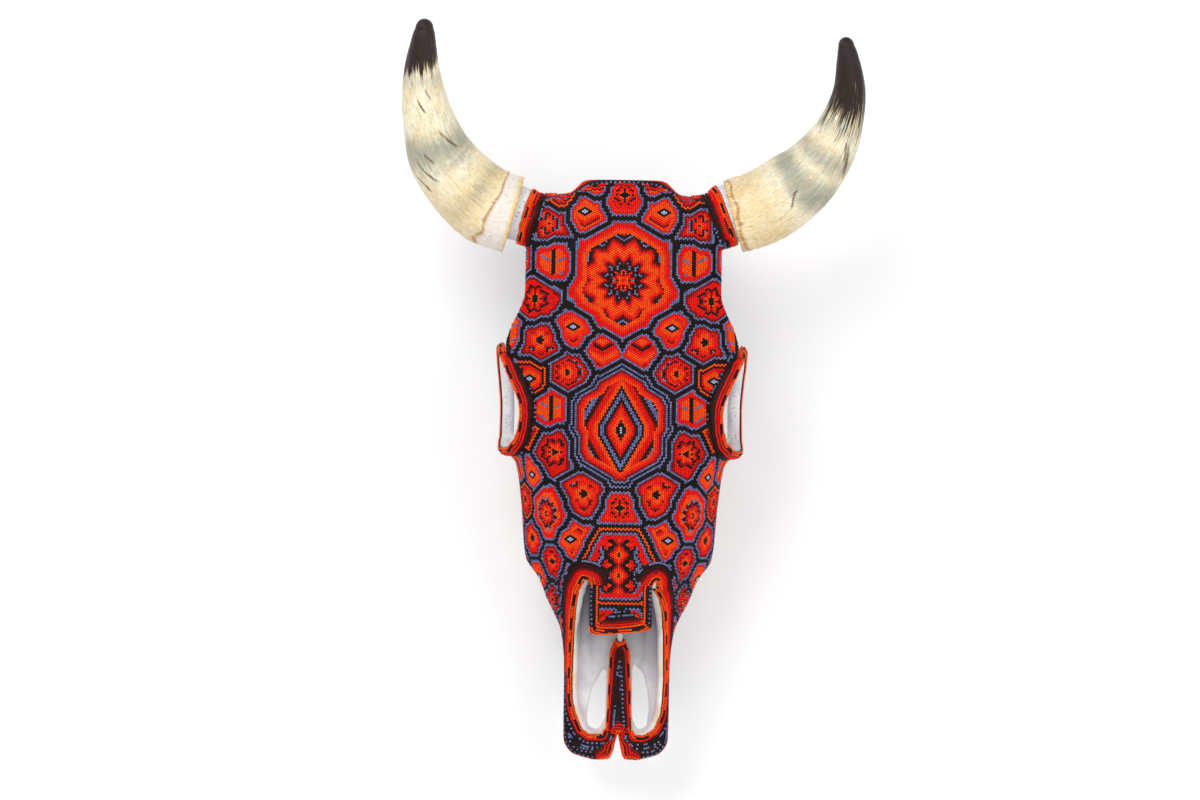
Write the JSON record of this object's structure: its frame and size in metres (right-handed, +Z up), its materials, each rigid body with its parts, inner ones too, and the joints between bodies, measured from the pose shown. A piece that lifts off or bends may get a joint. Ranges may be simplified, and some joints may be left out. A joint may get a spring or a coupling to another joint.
{
  "type": "beaded cow skull",
  "caption": "Cow skull lying face up, its face covered in glass seed beads set in wax, with two hollow horn sheaths on bare bone cores and loose upper cheek teeth.",
  "frame": {"origin": "on the table under the middle of the whole skull's bounding box", "axes": "+Z up out of the face, +Y towards the poll and the horn tips, -Y towards the nose, +X to the right of a viewer who looks down on the face with the poll away from them"},
  "size_m": [0.4046, 0.6383, 0.2198],
  "materials": {
    "bone": "matte",
    "beads": "glossy",
    "wax": "satin",
    "horn": "satin",
    "tooth": "satin"
  },
  "bodies": {
    "root": {"skull": "bone", "bead_coat": "beads", "horn_left": "horn", "horn_right": "horn", "tooth_left_p2": "tooth", "tooth_left_p3": "tooth", "tooth_left_p4": "tooth", "tooth_left_m1": "tooth", "tooth_left_m2": "tooth", "tooth_left_m3": "tooth", "tooth_right_p2": "tooth", "tooth_right_p3": "tooth", "tooth_right_p4": "tooth", "tooth_right_m1": "tooth", "tooth_right_m2": "tooth", "tooth_right_m3": "tooth"}
  },
  "joints": []
}
